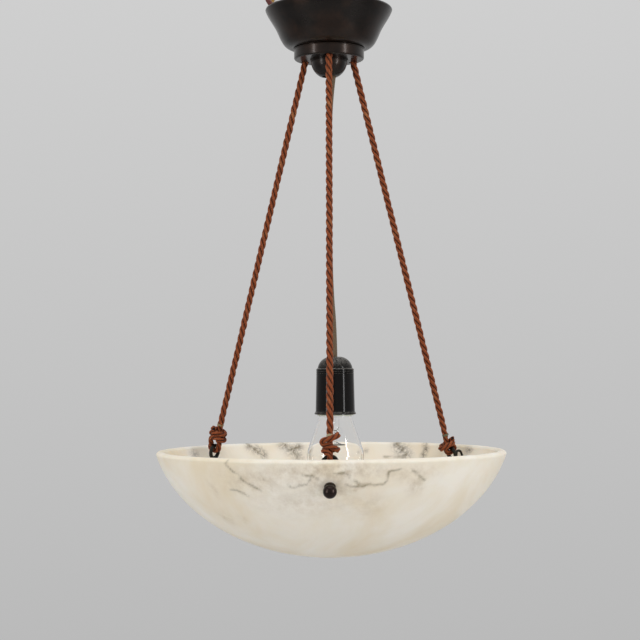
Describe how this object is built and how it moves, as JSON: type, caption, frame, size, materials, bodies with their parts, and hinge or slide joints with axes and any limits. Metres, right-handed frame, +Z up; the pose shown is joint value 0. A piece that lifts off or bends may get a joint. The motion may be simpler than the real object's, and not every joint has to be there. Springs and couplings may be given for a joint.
{
  "type": "bowl pendant lamp",
  "caption": "Hanging lamp: a translucent alabaster bowl on knotted ropes below a dark brass ceiling cup, with a clear bulb in a black holder on a flex in the middle.",
  "frame": {"origin": "centre of the suspension eye's bore, where the lamp hangs on its ceiling hook", "axes": "+Z up along the lamp's axis; -Y towards the viewer, where the front rope hangs; +X to the viewer's right"},
  "size_m": [0.3662, 0.3694, 0.606],
  "materials": {
    "dark_brass": "patinated, satin",
    "steel": "zinc plated",
    "rope": "three-strand laid cord",
    "alabaster": "polished, translucent, veined",
    "forged_iron": "forged, waxed",
    "ball_metal": "blackened, polished",
    "leather": "cut disc",
    "flex_textile": "braided jacket",
    "core_plastic": "insulation",
    "porcelain": "glazed",
    "bare_brass": "bare",
    "bakelite": "moulded",
    "pale_porcelain": "glazed",
    "black_glass": "fused",
    "solder": "soldered",
    "clear_glass": "clear",
    "tungsten": "drawn wire"
  },
  "bodies": {
    "root": {"suspension_loop": "dark_brass", "stem_tube": "steel", "cup_washer": "steel", "lock_nut": "steel", "ceiling_cup": "dark_brass", "rope_collar": "dark_brass", "dome_finial": "dark_brass", "supply_flex": "flex_textile", "supply_cores": "core_plastic", "terminal_block": "porcelain", "terminal_screws": "bare_brass"},
    "bowl": {"alabaster_bowl": "alabaster", "hook_front": "forged_iron", "hook_right": "forged_iron", "hook_left": "forged_iron", "ball_nut_front": "ball_metal", "ball_nut_right": "ball_metal", "ball_nut_left": "ball_metal", "outer_washers": "leather", "inner_washers": "leather", "rope_front": "rope", "rope_right": "rope", "rope_left": "rope"},
    "lamp_drop": {"drop_flex": "flex_textile", "cord_grip": "bakelite", "holder_cap": "bakelite", "holder_sleeve": "bakelite", "holder_ring": "pale_porcelain", "holder_insert": "porcelain", "insert_screws": "bare_brass", "screw_shell": "bare_brass", "centre_contact": "bare_brass", "contact_rivets": "bare_brass"},
    "bulb_lift": {"lamp_tip": "solder"},
    "bulb": {"lamp_cap": "bare_brass", "lamp_insulator": "black_glass", "bulb_glass": "clear_glass", "bulb_stem": "clear_glass", "bulb_filament": "tungsten"}
  },
  "joints": [
    {"name": "bowl_twist", "type": "hinge", "parent": "root", "child": "bowl", "pos_m": [0, 0, -0.0679], "axis": [0, 0, 1], "range_deg": [-20, 20], "stiffness_Nm_per_rad": 0.38, "deforming": ["rope_front", "rope_right", "rope_left"]},
    {"name": "flex_swing", "type": "hinge", "parent": "root", "child": "lamp_drop", "pos_m": [0.0046, 0, -0.084], "axis": [0, 1, 0], "range_deg": [-12, 12]},
    {"name": "bulb_lift", "type": "slide", "parent": "lamp_drop", "child": "bulb_lift", "axis": [0, 0, -1], "range_m": [0, 0.01815]},
    {"name": "bulb_screw", "type": "hinge", "parent": "bulb_lift", "child": "bulb", "pos_m": [0.0046, 0, -0.4187], "axis": [0, 0, -1], "range_deg": [0, 1800]}
  ],
  "couplings": [
    {"joint": "bulb_lift", "follows": "bulb_screw", "m_per_rad": 0.00057757}
  ]
}
